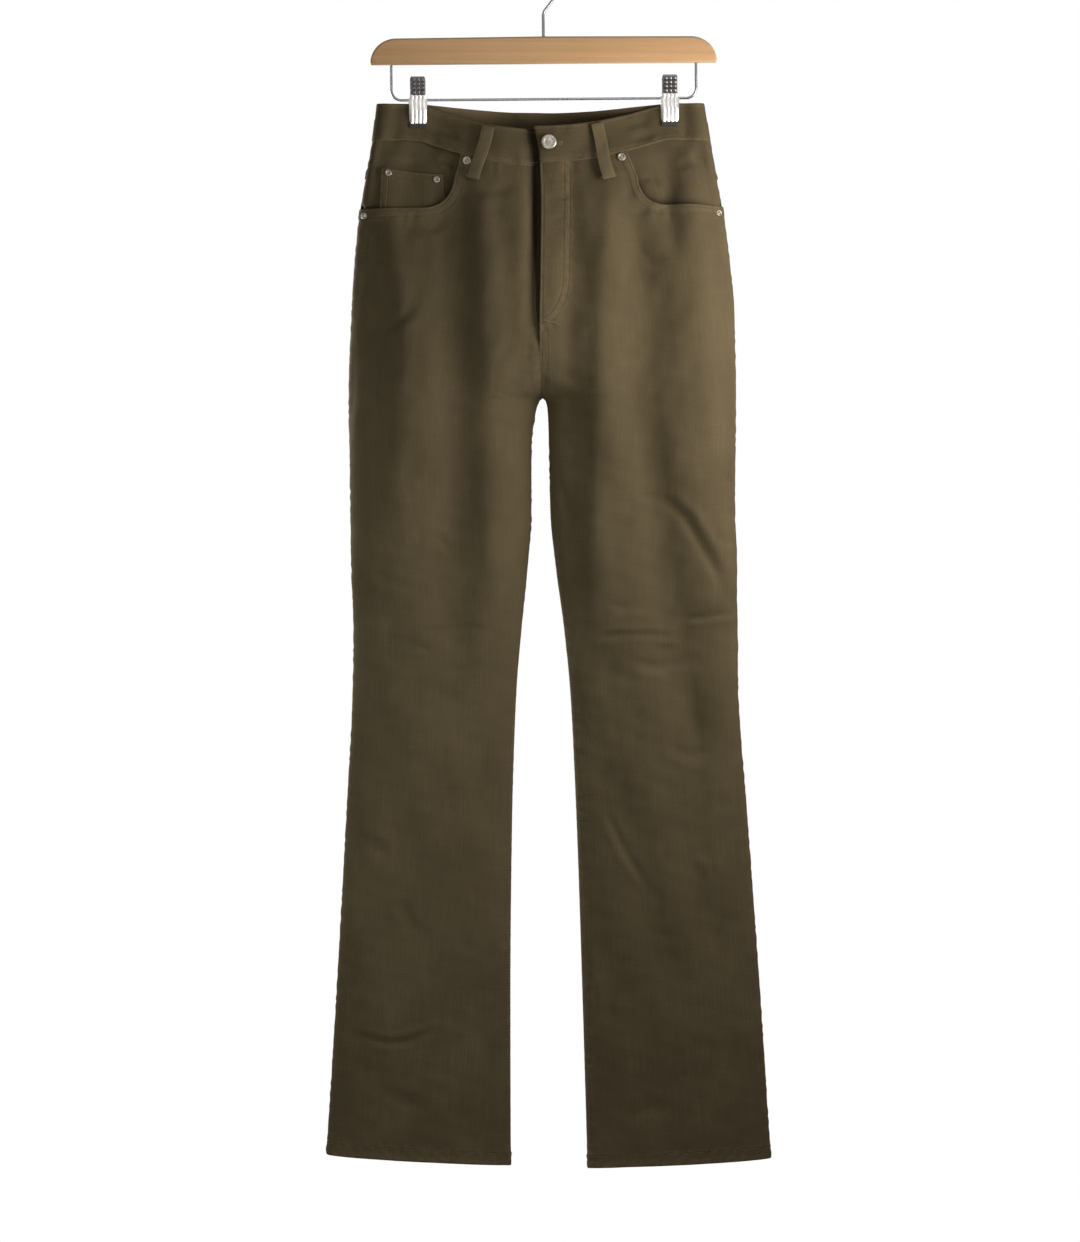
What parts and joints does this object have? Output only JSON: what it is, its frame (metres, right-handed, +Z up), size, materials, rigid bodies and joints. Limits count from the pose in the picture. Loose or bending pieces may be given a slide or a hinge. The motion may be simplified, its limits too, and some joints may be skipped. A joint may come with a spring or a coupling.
{
  "type": "bootcut jeans on a clip hanger",
  "caption": "Slim high-waisted bootcut jeans in dark olive twill with pockets, fly and belt loops, hung by sprung metal clips from a wooden clip hanger.",
  "frame": {"origin": "the inside top of the hook, where it rests on the rail", "axes": "+Z up, the front of the jeans faces -Y, the wearer's left is +X"},
  "size_m": [0.4796, 0.1207, 1.3005],
  "materials": {
    "olive_twill": "brushed cotton twill",
    "brushed_nickel": "antique nickel",
    "chrome_wire": "bright wire",
    "clip_steel": "pressed bright steel",
    "clip_rubber": "matt",
    "beech": "clear lacquered",
    "zip_brass": "aged"
  },
  "bodies": {
    "root": {"back_left": "olive_twill", "back_right": "olive_twill", "belt_loop_back_left": "olive_twill", "belt_loop_back_right": "olive_twill", "belt_loop_centre_back": "olive_twill", "belt_loop_front_left": "olive_twill", "belt_loop_front_right": "olive_twill", "clip_back_left": "clip_steel", "clip_back_right": "clip_steel", "clip_front_left": "clip_steel", "clip_front_right": "clip_steel", "clip_pad_back_left": "clip_rubber", "clip_pad_back_right": "clip_rubber", "clip_pad_front_left": "clip_rubber", "clip_pad_front_right": "clip_rubber", "clip_spring_left": "chrome_wire", "clip_spring_right": "chrome_wire", "fly_shield": "olive_twill", "front_left": "olive_twill", "front_right": "olive_twill", "hanger_bar": "beech", "hanger_hook": "chrome_wire", "hanger_rod": "chrome_wire", "patch_pocket_left": "olive_twill", "patch_pocket_right": "olive_twill", "pocket_facing_left": "olive_twill", "pocket_facing_right": "olive_twill", "rivet_pocket_front_left": "brushed_nickel", "rivet_pocket_front_right": "brushed_nickel", "rivet_pocket_side_left": "brushed_nickel", "rivet_pocket_side_right": "brushed_nickel", "rivet_watch_inner": "brushed_nickel", "rivet_watch_outer": "brushed_nickel", "waist_button": "brushed_nickel", "waistband": "olive_twill", "watch_pocket": "olive_twill", "yoke_left": "olive_twill", "yoke_right": "olive_twill", "zip_tape": "zip_brass"}
  },
  "joints": []
}
